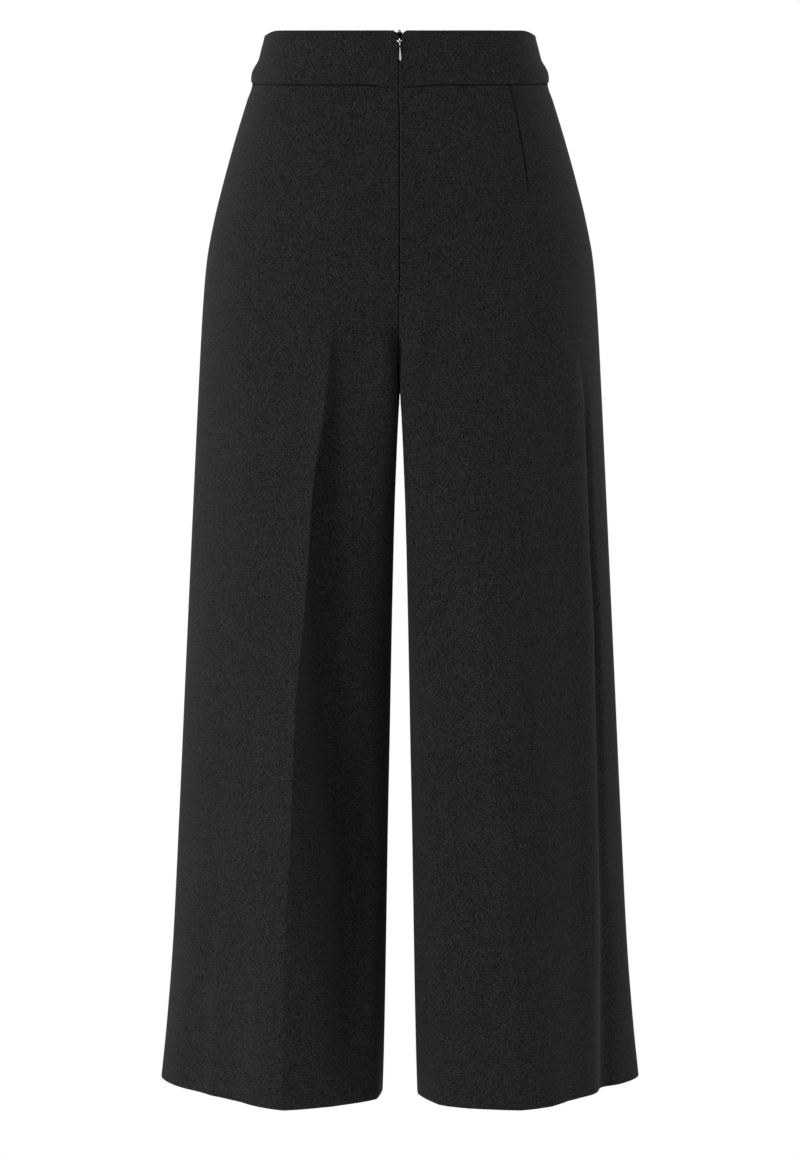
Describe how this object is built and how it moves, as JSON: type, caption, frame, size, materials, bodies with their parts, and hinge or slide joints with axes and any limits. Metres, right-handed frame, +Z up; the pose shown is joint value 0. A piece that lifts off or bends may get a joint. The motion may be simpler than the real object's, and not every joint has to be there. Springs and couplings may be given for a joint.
{
  "type": "wide-leg culottes",
  "caption": "High-waisted wide-leg culottes with a shaped waistband, pressed creases and a concealed back zip, filled out as worn.",
  "frame": {"origin": "middle of the waist opening, level with the waistband's top edge, where the wearer's waist holds the garment", "axes": "+Z up along the body, +Y to the wearer's front, +X to the wearer's right; the zip is at the back, towards -Y"},
  "size_m": [0.4616, 0.241, 1.0004],
  "materials": {
    "crepe": "matt heavy crepe with a fine pebbled grain",
    "band_crepe": "the same crepe, fused and faced, matt",
    "zip_tape": "woven polyester tape",
    "zip_coil": "moulded coil, satin",
    "zip_metal": "dark nickel, satin",
    "pull_metal": "polished nickel"
  },
  "bodies": {
    "garment": {"back_left": "crepe", "back_right": "crepe", "front_left": "crepe", "front_right": "crepe", "waistband_back_left": "band_crepe", "waistband_back_right": "band_crepe", "waistband_front": "band_crepe", "zip_tape_left": "zip_tape", "zip_tape_right": "zip_tape", "zip_coil": "zip_coil", "zip_slider": "zip_metal"},
    "pull": {"zip_pull": "pull_metal"}
  },
  "joints": [
    {"name": "pull_swing", "type": "hinge", "parent": "garment", "child": "pull", "pos_m": [0, -0.09031, -0.0086], "axis": [-1, 0, 0], "range_deg": [0, 165]}
  ]
}
